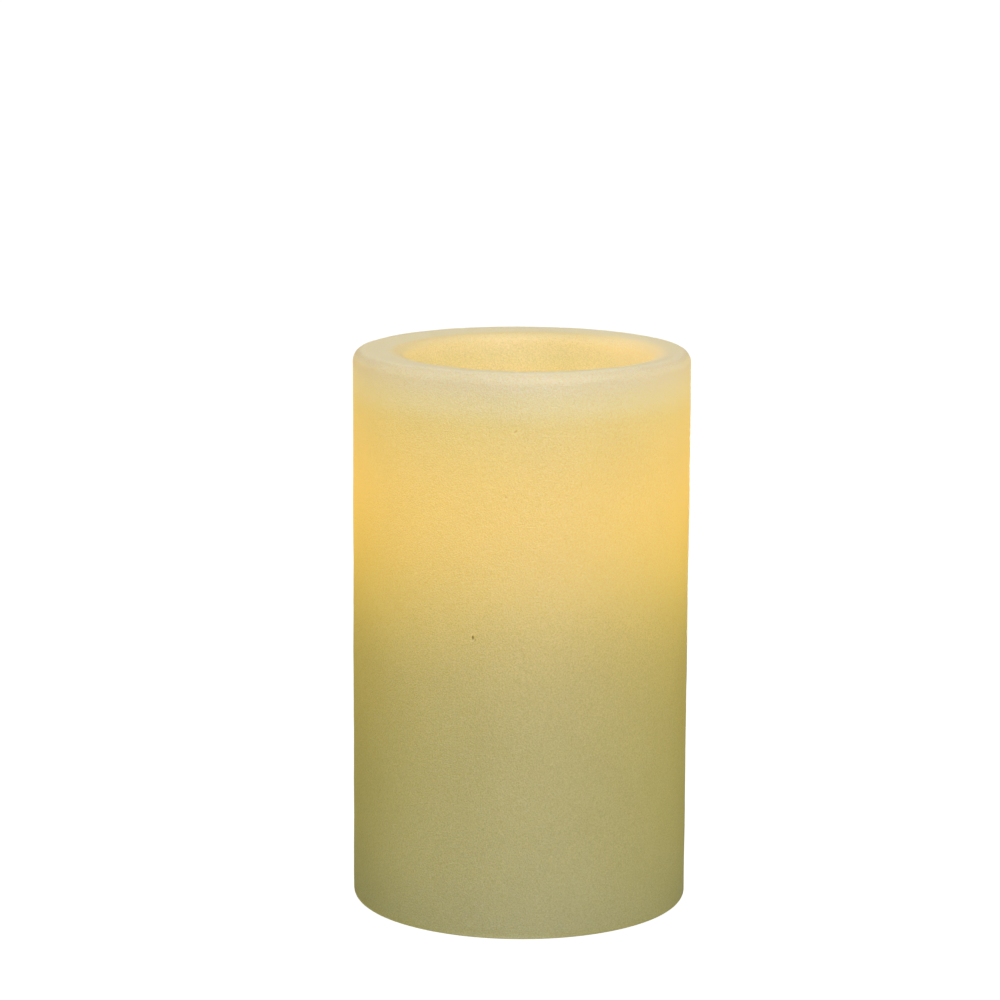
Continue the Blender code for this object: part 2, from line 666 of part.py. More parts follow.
def build_timer_chip():
    y0, y1 = -21.2, -17.4
    leg_pitch, leg_half = 1.27, 0.2
    body = prism(rect(-2.0, 3.0, y0, y1), ON_BOARD + 0.2, ON_BOARD + 1.7)
    chip = place("timer_chip", body, CHIP)
    legs = bmesh.new()
    for k in range(4):
        x = -1.4 + leg_pitch * k
        for y, inward in ((y0, 1.0), (y1, -1.0)):
            leg = [(y + inward * depth, ON_BOARD + height) for depth, height in CHIP_LEG]
            side_prism(leg, x - leg_half, x + leg_half, legs)
    join(chip, "add_chip_legs", legs)


def build_crystal():
    can = disc(-20.4, ON_BOARD + 1.05, 1.0, 12)
    place("timer_crystal", side_prism(can, -8.6, -2.9), STEEL)


# (radius, z above the board's parts level)
CAPACITOR_SECTION = [
    (0, 0), (2.3, 0), (2.5, 0.4), (2.5, 0.8), (2.3, 1.0),
    (2.5, 1.3), (2.5, 6.6), (2.1, 7.0), (0, 7.0),
]


def build_capacitor():
    section = [(r, ON_BOARD + z) for r, z in CAPACITOR_SECTION]
    place("capacitor", turned(section, 20, 6.2, -20.0), CAP_SLEEVE)


def build_resistor():
    y, axis_z = -14.3, ON_BOARD + 1.25
    # (x, z above the board's parts level) of the bent lead
    lead = [(-3.1, 0), (-3.1, 0.9), (-2.6, 1.2), (0.0, 1.25), (2.6, 1.2), (3.1, 0.9), (3.1, 0)]
    path = smooth_path([(x, y, ON_BOARD + z) for x, z in lead], 2)
    resistor = place("resistor", swept(path, 0.25), RESISTOR)
    barrel = side_prism(disc(y, axis_z, 0.9, 12), -1.9, 1.9)
    join(resistor, "add_resistor_body", barrel)


# ---------------------------------------------------------------- slide switch
def switch_block(x, half_x, half_y, z0, z1, shape=None):
    """A block centred across the switch's line of travel."""
    return prism(rect_at(x, SWITCH_Y, half_x, half_y), z0, z1, shape)


def build_switch():
    """The frame under the board, the slider in it and the finger knob on the slider's stub."""
    frame = switch_block(0, 4.7, 2.4, KNOB_Z1 + GAP, BOARD_Z0 - GAP)
    frame = place("switch_frame", frame, STEEL)
    cut(frame, "cut_switch_cavity", switch_block(0, 4.2, 1.9, 5.5, 8.1))
    cut(frame, "cut_switch_slot", switch_block(0, 3.3, 1.2, 4.0, 6.5))

    x = SWITCH_REST_X
    slider = place("switch_slider", switch_block(x, 1.8, 1.5, 5.9, 7.7), BLACK, SWITCH_ORIGIN)
    join(slider, "add_slider_stub", switch_block(x, 0.9, 0.9, 2.8, 6.4))

    flange = switch_block(x, 5.7, 2.8, KNOB_Z0, KNOB_Z1)
    knob = place("switch_knob", flange, BLACK, SWITCH_ORIGIN)
    join(knob, "add_knob_grip", switch_block(x, 1.6, 1.6, 0.9, 4.5))
    ridges = bmesh.new()
    for k in (-1, 0, 1):
        switch_block(x + k * 1.05, 0.3, 1.4, 0.5, 1.2, ridges)
    join(knob, "add_knob_ridges", ridges)
    cut(knob, "cut_knob_pocket", switch_block(x, 1.2, 1.2, 2.5, 6.0))


# ---------------------------------------------------------------- screws
def screw(name, x, y, *, head_r, shank_r, head_z, seat_z, tip_z):
    """A pan-head self-tapping screw, from its head's outer face past its seat to its tip."""
    way = 1.0 if tip_z > head_z else -1.0
    height = abs(seat_z - head_z)
    length = height + abs(tip_z - seat_z)
    # (radius, distance from the head's outer face)
    profile = [
        (0, 0.0),
        (head_r * 0.62, 0.0),
        (head_r * 0.92, 0.22 * height),
        (head_r, 0.6 * height),
        (head_r, height),
        (shank_r, height),
        (shank_r, length - 1.4 * shank_r),
        (shank_r * 0.25, length),
        (0, length),
    ]
    section = [(r, head_z + way * depth) for r, depth in profile]
    obj = place(name, turned(section, 16, x, y), STEEL)
    half, arm = head_r * 0.13, head_r * 0.52
    corners = (
        (arm, -half), (arm, half), (half, half), (half, arm), (-half, arm), (-half, half),
        (-arm, half), (-arm, -half), (-half, -half), (-half, -arm), (half, -arm), (half, -half),
    )
    cross = [(x + dx, y + dy) for dx, dy in corners]
    z0, z1 = sorted((head_z - way * OVERRUN, head_z + way * 0.55 * height))
    cut(obj, f"cut_drive_{name}", prism(cross, z0, z1))


def build_screws():
    base = dict(head_r=2.6, shank_r=1.25, head_z=1.0, seat_z=2.1, tip_z=14.0)
    for k, (x, y) in enumerate(SCREW_SPOTS, 1):
        screw(f"base_screw_{k}", x, y, **base)
    board = dict(head_r=1.9, shank_r=0.8, head_z=ON_BOARD + 1.0, seat_z=ON_BOARD, tip_z=4.9)
    for k, (_, sign) in enumerate(SIDES, 1):
        screw(f"board_screw_{k}", sign * BOARD_POST_X, SWITCH_Y, **board)


# ---------------------------------------------------------------- wires
# (x, y, z) knots, from the top down to the board
LED_RED_ROUTE = [
    (1.27, 0.0, 69.6), (1.6, -1.2, 67.0), (2.6, -5.5, 63.6),
    (3.0, -9.6, 62.0), (3.0, -11.4, 58.5), (3.2, -11.8, 40.0),
    (3.0, -12.0, 22.0), (3.4, -12.6, 13.0), (3.6, -12.7, ON_BOARD),
]
LED_BLACK_ROUTE = [
    (-1.27, 0.0, 70.6), (-1.6, -1.2, 67.2), (-2.6, -5.5, 63.8),
    (-3.0, -9.8, 62.2), (-3.0, -11.8, 58.5), (-3.3, -12.2, 40.0),
    (-3.0, -12.0, 22.0), (-3.4, -12.6, 13.0), (-3.6, -12.7, ON_BOARD),
]
BATTERY_BLACK_ROUTE = [
    (BAY_X, 10.0, 63.0), (11.5, 8.8, 63.6), (14.4, 1.0, 63.2),
    (12.4, -8.0, 62.6), (10.6, -11.2, 58.5), (10.9, -12.0, 40.0),
    (10.5, -12.4, 22.0), (8.8, -12.9, 13.4), (8.2, -13.0, ON_BOARD),
]
BATTERY_RED_ROUTE = [(-x, y, z) for x, y, z in BATTERY_BLACK_ROUTE]


def build_wires():
    wire_r = 0.6
    black = (0.02, 0.02, 0.02)
    for name, rgb, route in (
        ("led_wire_red", (0.55, 0.03, 0.02), LED_RED_ROUTE),
        ("led_wire_black", black, LED_BLACK_ROUTE),
        ("battery_wire_red", (0.60, 0.04, 0.02), BATTERY_RED_ROUTE),
        ("battery_wire_black", black, BATTERY_BLACK_ROUTE),
    ):
        sleeve = make_material(name, rgb=rgb, rough=0.45)
        place(name, swept(smooth_path(route, 3), wire_r), sleeve)


build_wax_shell()
build_adhesive_ring()
build_housing()
build_top_cap()
build_flame()
build_led()
build_base_plate()
build_door()
build_latch()
build_door_contact()
build_cells()
build_top_contacts()
build_board()
build_timer_chip()
build_crystal()
build_capacitor()
build_resistor()
build_switch()
build_screws()
build_wires()
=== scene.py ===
"""Looks of a flameless LED pillar candle, built around its CAD pieces.

The candle stands on z = 0 along +Z, with its axis at x = y = 0 and its front towards -Y. A well sunk
into the top holds the flame diffuser. The base, switch, cells and board keep their CAD meshes.
Sizes are in mm times MM, except on the stage, which is in metres.
"""

import math
from functools import cached_property

import bmesh
import bpy
import numpy as np
from mathutils import Matrix, Vector, noise


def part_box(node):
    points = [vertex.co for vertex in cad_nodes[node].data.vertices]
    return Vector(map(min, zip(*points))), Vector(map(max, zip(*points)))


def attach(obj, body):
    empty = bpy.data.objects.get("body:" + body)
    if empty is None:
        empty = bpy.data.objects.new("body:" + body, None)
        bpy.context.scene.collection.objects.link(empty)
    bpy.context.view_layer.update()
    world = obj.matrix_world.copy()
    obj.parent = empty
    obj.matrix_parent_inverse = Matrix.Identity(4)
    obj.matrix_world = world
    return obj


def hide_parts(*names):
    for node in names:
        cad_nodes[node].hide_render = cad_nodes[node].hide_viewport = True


MM = 0.001
WHITE = (1.0, 1.0, 1.0)

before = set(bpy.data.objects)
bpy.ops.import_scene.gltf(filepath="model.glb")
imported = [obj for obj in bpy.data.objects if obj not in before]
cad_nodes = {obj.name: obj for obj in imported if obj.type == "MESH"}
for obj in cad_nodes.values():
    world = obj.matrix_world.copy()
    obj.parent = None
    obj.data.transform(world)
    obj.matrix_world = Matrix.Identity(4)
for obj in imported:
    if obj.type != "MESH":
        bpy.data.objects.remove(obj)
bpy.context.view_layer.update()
scene = bpy.context.scene


# ================================================================ node helpers
class Graph:
    """A node tree, with short names for the nodes used here."""

    def __init__(self, tree):
        self.tree = tree
        self.nodes = tree.nodes

    def put(self, socket, value):
        """Links a socket into this one, or sets its value."""
        if isinstance(value, bpy.types.NodeSocket):
            self.tree.links.new(value, socket)
        elif isinstance(value, (tuple, list)) and len(value) == 3 and socket.type == "RGBA":
            socket.default_value = (*value, 1.0)
        else:
            socket.default_value = value

    def node(self, kind, inputs=None, **settings):
        node = self.nodes.new("ShaderNode" + kind)
        for key, value in settings.items():
            setattr(node, key, value)
        for key, value in (inputs or {}).items():
            self.put(node.inputs[key], value)
        return node

    def math(self, operation, *values, clamp=False):
        inputs = dict(enumerate(values))
        return self.node("Math", inputs, operation=operation, use_clamp=clamp).outputs[0]

    def plus(self, a, b):
        return self.math("ADD", a, b)

    def minus(self, a, b):
        return self.math("SUBTRACT", a, b)

    def times(self, a, b):
        return self.math("MULTIPLY", a, b)

    def length(self, a, b):
        """Length of the flat vector (a, b)."""
        return self.math("SQRT", self.plus(self.times(a, a), self.times(b, b)))

    def vector(self, operation, a, b, output="Vector"):
        return self.node("VectorMath", {0: a, 1: b}, operation=operation).outputs[output]

    def scale(self, colour, factor):
        """colour times a number or a value socket."""
        node = self.node("VectorMath", {}, operation="SCALE")
        self.put(node.inputs[0], colour)
        self.put(node.inputs["Scale"], factor)
        return node.outputs["Vector"]

    def span(self, value, over, to=(0.0, 1.0), smooth=False):
        """Maps one range of values onto another, held at its ends."""
        inputs = {
            "Value": value,
            "From Min": over[0],
            "From Max": over[1],
            "To Min": to[0],
            "To Max": to[1],
        }
        kind = "SMOOTHSTEP" if smooth else "LINEAR"
        return self.node("MapRange", inputs, interpolation_type=kind).outputs["Result"]

    def vary(self, value, to):
        """Spreads the usual reach of a noise over a range."""
        return self.span(value, over=(0.3, 0.7), to=to)

    def split(self, vector):
        return self.node("SeparateXYZ", {0: vector}).outputs[:]

    def mix_shader(self, factor, first, second):
        return self.node("MixShader", {"Fac": factor, 1: first, 2: second}).outputs["Shader"]


class Look(Graph):
    """A material: its node tree, textured in object coordinates."""

    def __init__(self, name):
        self.mat = bpy.data.materials.new(name)
        self.mat.use_nodes = True
        super().__init__(self.mat.node_tree)
        self.bsdf = self.nodes["Principled BSDF"]
        # glowing surfaces light what rays find, so none has to be sampled as a lamp
        self.mat.cycles.emission_sampling = "NONE"

    @cached_property
    def coord(self):
        return self.node("TexCoord").outputs["Object"]

    def set(self, **inputs):
        for key, value in inputs.items():
            self.put(self.bsdf.inputs[key.replace("_", " ")], value)

    def xyz(self):
        return self.split(self.coord)

    def noise(self, scale, detail=2.0, rough=0.5, stretch=None):
        vector = self.coord
        if stretch:
            vector = self.node("Mapping", {"Vector": vector, "Scale": stretch}).outputs["Vector"]
        inputs = {"Vector": vector, "Scale": scale, "Detail": detail, "Roughness": rough}
        return self.node("TexNoise", inputs).outputs["Fac"]

    def ramp(self, factor, stops, interpolation="LINEAR"):
        node = self.node("ValToRGB", {"Fac": factor})
        node.color_ramp.interpolation = interpolation
        elements = node.color_ramp.elements
        while len(elements) > 1:
            elements.remove(elements[-1])
        for i, (position, colour) in enumerate(stops):
            element = elements[0] if i == 0 else elements.new(position)
            element.position = position
            element.color = (*colour, 1.0)
        return node.outputs["Color"]

    def mix(self, factor, a, b):
        inputs = {"Factor": factor, "A": a, "B": b}
        return self.node("Mix", inputs, data_type="RGBA").outputs["Result"]

    def bump(self, height, distance, strength, normal=None):
        inputs = {"Height": height, "Distance": distance, "Strength": strength}
        if normal is not None:
            inputs["Normal"] = normal
        return self.node("Bump", inputs).outputs["Normal"]


# ================================================================ the wax body
RADIUS = 38.1
HEIGHT = 127.0
FOOT_BORE = 33.6
FOOT_ROUND = 1.5
RIM_ROUND = 2.7
LIP_ROUND = 2.0  # where the rim turns down into the well
DISH = 0.6  # fall of the rim from its outer edge to the well
WELL_RADIUS = 28.0
WELL_TAPER = 0.6
WELL_SHIFT = 1.5  # of the well's centre towards +X, at its mouth
FLOOR_SHIFT = WELL_SHIFT * 0.8
FLOOR_ROUND = 3.0
FLOOR_Z = 78.0
CENTRED_RADIUS = 9.1  # the floor's rings are centred on the axis again here
RING_STEP = 1.5  # between rings up the walls
SEGMENTS = 288

# Handling marks: (azimuth deg, height, radius, depth).
# Azimuth 0 faces -Y, positive towards +X. The mesh is finer round the first three.
DENTS = [
    (-2.35, 114.3, 0.42, 0.20),
    (-16.1, 68.3, 0.42, 0.34),
    (-5.3, 99.8, 0.32, 0.10),
    (63.0, 22.0, 0.6, 0.18),
    (118.0, 88.0, 0.7, 0.2),
    (171.0, 41.0, 0.6, 0.22),
    (207.0, 103.0, 0.5, 0.2),
    (262.0, 60.0, 0.7, 0.16),
]
SHARP = DENTS[:3]
DENTED_FROM = 35.5  # only points further out than this are dented

WALL, RIM, WELL, FLOOR, HIDDEN = range(5)  # zones of the wax section


def refined(values, centres, step, gap, reach=4):
    """The sorted values, with more a step apart round each centre and none closer than gap."""
    out = list(values)
    for centre in centres:
        for k in range(-reach, reach + 1):
            value = centre + k * step
            if min(abs(value - other) for other in out) > gap:
                out.append(value)
    return sorted(out)


def wax_angles():
    """Angles of the section's copies, in radians from +X."""
    even = [360.0 * k / SEGMENTS for k in range(SEGMENTS)]
    degrees = refined(even, [270.0 + dent[0] for dent in SHARP], step=0.34, gap=0.14)
    return [math.radians(a) for a in degrees]


def wax_section():
    """(radius, z, shift along X, zone) up the outside, down the well and round the hidden side."""
    points = []

    def rounding(centre_r, centre_z, size, start, end, steps, shift, zone):
        for k in range(steps + 1):
            a = math.radians(start + (end - start) * k / steps)
            r, z = centre_r + size * math.cos(a), centre_z + size * math.sin(a)
            points.append((r, z, shift, zone))

    # foot and outer wall
    points.extend((FOOT_BORE + k, 0.0, 0.0, WALL) for k in range(3))
    rounding(RADIUS - FOOT_ROUND, FOOT_ROUND, FOOT_ROUND, -90, 0, 6, 0.0, WALL)
    even = [2 * FOOT_ROUND + RING_STEP * k for k in range(80)]
    for z in refined(even, [dent[1] for dent in SHARP], step=0.25, gap=0.1):
        points.append((RADIUS, z, 0.0, WALL))

    # rim, dished towards the well
    flat_outer, flat_inner = RADIUS - RIM_ROUND, WELL_RADIUS + LIP_ROUND
    rounding(flat_outer, HEIGHT - RIM_ROUND, RIM_ROUND, 0, 90, 9, 0.0, RIM)
    for t in (0.2, 0.4, 0.6, 0.8):
        r = flat_outer + (flat_inner - flat_outer) * t
        points.append((r, HEIGHT - DISH * t, WELL_SHIFT * t, RIM))
    lip_z = HEIGHT - DISH - LIP_ROUND
    rounding(flat_inner, lip_z, LIP_ROUND, 92, 180, 8, WELL_SHIFT, RIM)

    # well wall, from just under the lip to just over the floor's rounding
    z = lip_z - 1.2
    while z > FLOOR_Z + FLOOR_ROUND + 1.2:
        t = (lip_z - z) / (lip_z - FLOOR_Z - FLOOR_ROUND)
        points.append((WELL_RADIUS - WELL_TAPER * t, z, WELL_SHIFT * (1 - 0.2 * t), WELL))
        z -= RING_STEP
    corner_r = WELL_RADIUS - WELL_TAPER - FLOOR_ROUND
    rounding(corner_r, FLOOR_Z + FLOOR_ROUND, FLOOR_ROUND, 0, -90, 7, FLOOR_SHIFT, WELL)

    # floor and the edge of its hole
    for r in (22.5, 20.5, 18.0, 15.5, 13.0, 11.0):
        shift = FLOOR_SHIFT * (r - CENTRED_RADIUS) / (corner_r - CENTRED_RADIUS)
        points.append((r, FLOOR_Z, shift, FLOOR))
    for r, drop in ((9.3, 0.0), (8.8, 0.2), (8.6, 0.7)):
        points.append((r, FLOOR_Z - drop, 0.0, FLOOR))

    # hidden underside of the floor and inside of the wall: (radius, z)
    hidden = [(8.6, 73.0), (28.0, 73.0), (29.0, 72.0), (29.0, 40.0), (29.0, 4.1), (FOOT_BORE, 4.1)]
    points.extend((r, z, 0.0, HIDDEN) for r, z in hidden)
    return points


def layered_noise(x, y, z, scale, octaves=2):
    value, weight = 0.0, 1.0
    for _ in range(octaves):
        value += weight * noise.noise(Vector((x * scale, y * scale, z * scale)))
        weight *= 0.5
        scale *= 2.1
    return value


def waves(x, y, z, broad, fine):
    """Two layers of noise, each given as (height, scale)."""
    total = broad[0] * layered_noise(x, y, z, broad[1])
    return total + fine[0] * layered_noise(x, y, z, fine[1])


def unevenness(zone, radius, x, y, z):
    """How far a point of the wax moves outward and upward."""
    if zone == WALL:
        fade = min(1.0, z / 6.0)  # the foot stays true
        return fade * waves(x, y, z, broad=(0.10, 0.045), fine=(0.035, 0.22)), 0.0
    if zone == RIM:
        rise = 0.14 * layered_noise(x, y, 7.0, 0.05) + 0.05 * layered_noise(x, y, 3.0, 0.22)
        return waves(x, y, z, broad=(0.10, 0.045), fine=(0.04, 0.25)), rise - 0.16
    if zone == WELL:
        return waves(x, y, z, broad=(0.22, 0.05), fine=(0.06, 0.25)) - 0.1, 0.0
    if zone == FLOOR and radius > 9.2:
        return 0.0, 0.10 * layered_noise(x, y, z, 0.08, octaves=3)
    return 0.0, 0.0


def press_dents(places):
    """Pushes the handling marks towards the axis."""
    azimuth = np.degrees(np.arctan2(places[:, 0], -places[:, 1])) % 360
    radius = np.hypot(places[:, 0], places[:, 1])
    for centre, height, size, depth in DENTS:
        turn = (azimuth - centre + 180) % 360 - 180
        squared = (np.radians(turn) * RADIUS) ** 2 + (places[:, 2] / MM - height) ** 2
        push = depth * np.exp(-squared / (size**2)) * (radius > DENTED_FROM * MM)
        shrink = 1 - push * MM / np.maximum(radius, 1e-6)
        places[:, 0] *= shrink
        places[:, 1] *= shrink


def smooth_object(name, mesh, sharp_angle):
    obj = bpy.data.objects.new(name, mesh)
    scene.collection.objects.link(obj)
    mesh.shade_smooth()
    mesh.set_sharp_from_angle(angle=math.radians(sharp_angle))
    return obj


def stand_for(obj, body, node):
    """The object rides on a body and replaces a CAD node, which is hidden."""
    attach(obj, body)
    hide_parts(node)


def build_wax():
    section, angles = wax_section(), wax_angles()
    verts, faces = [], []
    for radius, z, shift, zone in section:
        for a in angles:
            cos, sin = math.cos(a), math.sin(a)
            out, up = unevenness(zone, radius, radius * cos, radius * sin, z)
            r = radius + out
            verts.append(((shift + r * cos) * MM, r * sin * MM, (z + up) * MM))
    rings, around = len(section), len(angles)
    for i in range(rings):
        j = (i + 1) % rings
        for k in range(around):
            m = (k + 1) % around
            faces.append((i * around + k, i * around + m, j * around + m, j * around + k))
    places = np.array(verts)
    press_dents(places)
    mesh = bpy.data.meshes.new("wax_body")
    mesh.from_pydata(places.tolist(), [], faces)
    mesh.update()
    return smooth_object("wax_body", mesh, 50)


# ---------------------------------------------------------------- wax material
# Ramps up the candle: (z / HEIGHT, linear colour).
# the wax's own ivory, growing paler from 0.90 up to the rim: painted light from above
WAX_TONE_AND_PAINTED_TOP_LIGHT = [
    (0.0, (0.62, 0.578, 0.255)),
    (0.80, (0.62, 0.583, 0.268)),
    (0.90, (0.635, 0.60, 0.29)),
    (0.945, (0.69, 0.68, 0.425)),
    (0.975, (0.73, 0.715, 0.50)),
    (1.0, (0.73, 0.715, 0.50)),
]
# The light inside, as the glow the outside wall shows.
GLOW_OUTSIDE = [
    (0.00, (0.030, 0.028, 0.008)),
    (0.05, (0.054, 0.044, 0.011)),
    (0.12, (0.080, 0.062, 0.010)),
    (0.24, (0.098, 0.072, 0.006)),
    (0.36, (0.130, 0.088, 0.004)),
    (0.46, (0.175, 0.112, 0.006)),
    (0.54, (0.270, 0.165, 0.011)),
    (0.61, (0.385, 0.225, 0.018)),
    (0.68, (0.474, 0.265, 0.024)),
    (0.75, (0.517, 0.286, 0.028)),
    (0.83, (0.486, 0.279, 0.034)),
    (0.90, (0.420, 0.260, 0.040)),
    (0.95, (0.362, 0.256, 0.068)),
    (1.00, (0.250, 0.160, 0.050)),
]
# The well's own wall and floor, which the diffuser also lights directly.
GLOW_WELL = [
    (0.60, (0.22, 0.115, 0.022)),
    (0.72, (0.25, 0.150, 0.040)),
    (0.86, (0.26, 0.190, 0.060)),
    (0.93, (0.22, 0.203, 0.064)),
    (0.96, (0.17, 0.180, 0.072)),
    (0.99, (0.36, 0.258, 0.100)),
    (1.00, (0.39, 0.275, 0.108)),
]
# Extra glow at a grazing angle: (z / HEIGHT, share).
GRAZING_LIFT = [
    (0.00, 0.42), (0.70, 0.42), (0.84, 0.48), (0.92, 0.58),
    (0.965, 0.70), (0.986, 0.62), (0.994, 0.0),
]
# Small chips in the front wall: (x, z, half width, half height, rise, how dark: its depth and
# painted shade, burr round it: its rise and painted highlight).
CHIPS = [
    (-1.50, 114.30, 0.48, 0.27, 0.55, 0.40, 0.7),
    (-10.59, 68.38, 0.26, 0.54, 0.0, 1.12, 1.0),
    (-10.20, 68.02, 0.38, 0.38, -0.4, 0.42, 0.0),
    (-10.48, 67.45, 0.26, 0.45, 0.0, 0.22, 0.0),
    (-3.52, 99.80, 0.32, 0.25, 0.0, 0.36, 0.0),
]


def chips(look, x, y, z):
    """How deep the surface lies in a chip, which also sets its painted shade, and how far it stands
    in the burr round one, which also sets its painted highlight.
    """
    front = look.math("LESS_THAN", y, 0.0)
    hollow, burr = 0.0, 0.0
    for chip_x, chip_z, half_width, half_height, rise, dark, edge in CHIPS:
        across = look.minus(x, chip_x * MM)
        along = look.minus(look.minus(z, chip_z * MM), look.times(across, rise))
        # 1 on the chip's outline
        reach = look.length(
            look.math("DIVIDE", across, half_width * MM),
            look.math("DIVIDE", along, half_height * MM),
        )
        depth = look.span(reach, over=(0.5, 1.2), to=(dark, 0.0), smooth=True)
        hollow = look.math("MAXIMUM", hollow, depth)
        if edge:
            burr_reach, burr_half_width = 1.55, 0.5
            off = look.math("ABSOLUTE", look.minus(reach, burr_reach))
            off = look.math("DIVIDE", off, burr_half_width)
            ring = look.math("SUBTRACT", 1.0, off, clamp=True)
            burr = look.math("MAXIMUM", burr, look.times(ring, edge))
    return look.times(hollow, front), look.times(burr, front)


def wax_colour_with_painted_light(look, height, inside, facing):
    """The wax's colour by height, paler under the rim as painted top light, the well's own, and a
    painted sheen: bluer seen square on, yellower where the wall turns away.
    """
    base = look.ramp(height, WAX_TONE_AND_PAINTED_TOP_LIGHT, "EASE")
    base = look.mix(inside, base, (0.66, 0.58, 0.30))
    low = look.span(height, over=(0.62, 0.84), to=(1.0, 0.0), smooth=True)
    # painted sheen, change of blue: +0.06 seen square on, -0.37 seen edge on
    painted_sheen_blue = look.times(low, look.math("MULTIPLY_ADD", facing, -0.43, 0.06))
    tint = look.node("CombineXYZ", {0: 1.0, 1: 1.0, 2: look.plus(1.0, painted_sheen_blue)}).outputs[0]
    return look.vector("MULTIPLY", base, tint)


def wax_glow(look, x, z, height, radius, inside, normal):
    """The light that shows through the wall, or lies in the well."""
    # the flat of the rim takes light from the well below it
    up = look.span(look.split(normal)[2], over=(0.80, 0.99), smooth=True)
    rim_light = look.scale((0.05, 0.065, 0.055), up)
    outer = look.vector("ADD", look.ramp(height, GLOW_OUTSIDE, "B_SPLINE"), rim_light)
    # the well's own light leans to +X
    lean = look.span(x, over=(9.0 * MM, 28.0 * MM), smooth=True)
    lean_light = look.scale((0.15, 0.095, 0.06), lean)
    inner = look.vector("ADD", look.ramp(height, GLOW_WELL, "B_SPLINE"), lean_light)
    # the floor is brightest round the foot of the diffuser
    pool = look.times(
        look.span(radius, over=(8.0 * MM, 25.0 * MM), to=(1.0, 0.0)),
        look.span(z, over=(79.0 * MM, 82.0 * MM), to=(1.0, 0.0)),
    )
    inner = look.vector("ADD", inner, look.scale((0.34, 0.20, 0.045), pool))
    return look.mix(inside, outer, inner)


def wax_material():
    look = Look("ivory_wax_looks")
    x, y, z = look.xyz()
    height = look.math("DIVIDE", z, HEIGHT * MM)
    radius = look.length(look.minus(x, WELL_SHIFT * MM), y)
    inside = look.times(
        look.span(radius, over=(29.3 * MM, 32.2 * MM), to=(1.0, 0.0), smooth=True),
        look.span(z, over=(72.0 * MM, 76.0 * MM)),
    )
    facing = look.node("LayerWeight", {"Blend": 0.5}).outputs["Facing"]
    normal = look.node("NewGeometry").outputs["Normal"]

    # mottle: cloudy pour marks and a fine crystalline grain
    cloud = look.noise(scale=55.0, detail=3.0, rough=0.55)
    grain = look.noise(scale=3000.0, detail=1.5, rough=0.65)
    speck = look.noise(scale=620.0, detail=1.0)
    soft = look.vary(cloud, to=(0.985, 1.015))
    crystal = look.span(grain, over=(0.25, 0.75), to=(-1.0, 1.0))

    def mottled(colour, grain_share):
        tone = look.vector("ADD", look.scale(WHITE, soft), look.scale(grain_share, crystal))
        return look.vector("MULTIPLY", colour, tone)

    # painted shade: a chip is darker than the wall and less lit from inside; painted highlight: its
    # burr is a little brighter
    hollow, burr = chips(look, x, y, z)
    chip_painted_shade = look.vector("SUBTRACT", WHITE, look.scale((0.50, 0.54, 0.67), hollow))
    chip_shade_and_highlight = look.vector("ADD", chip_painted_shade, look.scale((0.15, 0.15, 0.15), burr))

    base = mottled(wax_colour_with_painted_light(look, height, inside, facing), (0.145, 0.158, 0.270))
    look.set(Base_Color=look.vector("MULTIPLY", base, chip_shade_and_highlight))

    # the glow is nearer to full red than to full blue, so the grain's share differs by colour
    glow = wax_glow(look, x, z, height, radius, inside, normal)
    glow = mottled(glow, (0.130, -0.020, 0.060))
    # seen at a grazing angle, more of the lit wall lies along the sight line
    lift = look.ramp(height, [(at, (share,) * 3) for at, share in GRAZING_LIFT])
    lift = look.times(look.times(lift, facing), look.minus(1.0, inside))
    glow = look.scale(glow, look.plus(1.0, lift))
    # painted shading of the grain: facets tilted towards a light from above, a little to -X and -Y,
    # glow a little brighter than those tilted away
    fine = look.bump(grain, distance=0.13 * MM, strength=1.0)
    painted_facet_light = look.vector("SUBTRACT", fine, normal)
    painted_facet_light = look.vector("DOT_PRODUCT", painted_facet_light, (-0.25, -0.15, 0.90), output="Value")
    facet_light_gain, level = 0.4, 1.02
    glow = look.scale(glow, look.math("MULTIPLY_ADD", painted_facet_light, facet_light_gain, level))
    # the chips' painted shade and the burrs' painted highlight darken and lift the glow as well
    look.set(Emission_Color=look.vector("MULTIPLY", glow, chip_shade_and_highlight), Emission_Strength=1.0)

    burr_height = 0.3  # as a share of a chip's depth
    relief = look.minus(look.times(burr, burr_height), hollow)
    chipped = look.bump(relief, distance=0.10 * MM, strength=0.5, normal=fine)
    ripple = look.noise(scale=240.0)
    look.bsdf.subsurface_method = "RANDOM_WALK"
    look.set(
        Roughness=look.plus(look.vary(cloud, to=(0.44, 0.52)), look.vary(speck, to=(-0.04, 0.04))),
        IOR=1.48,
        Specular_IOR_Level=0.9,
        Subsurface_Weight=0.6,
        Subsurface_Scale=4.0 * MM,
        Subsurface_Radius=(1.0, 0.75, 0.4),
        Normal=look.bump(ripple, distance=0.12 * MM, strength=0.35, normal=chipped),
    )
    return look.mat


wax = build_wax()
wax.data.materials.append(wax_material())
stand_for(wax, "candle", "wax_shell")


# ================================================================ the module's materials
def moulded(name, colour, rough):
    """Injection-moulded plastic with a spark-eroded texture."""
    look = Look(name)
    grain = look.noise(scale=2600.0, rough=0.6)
    look.set(
        Base_Color=look.scale(colour, look.vary(look.noise(scale=40.0), to=(0.96, 1.03))),
        Roughness=look.vary(look.noise(scale=700.0), to=(rough - 0.05, rough + 0.06)),
        Normal=look.bump(grain, distance=0.02 * MM, strength=0.7),
        IOR=1.5,
    )
    return look.mat


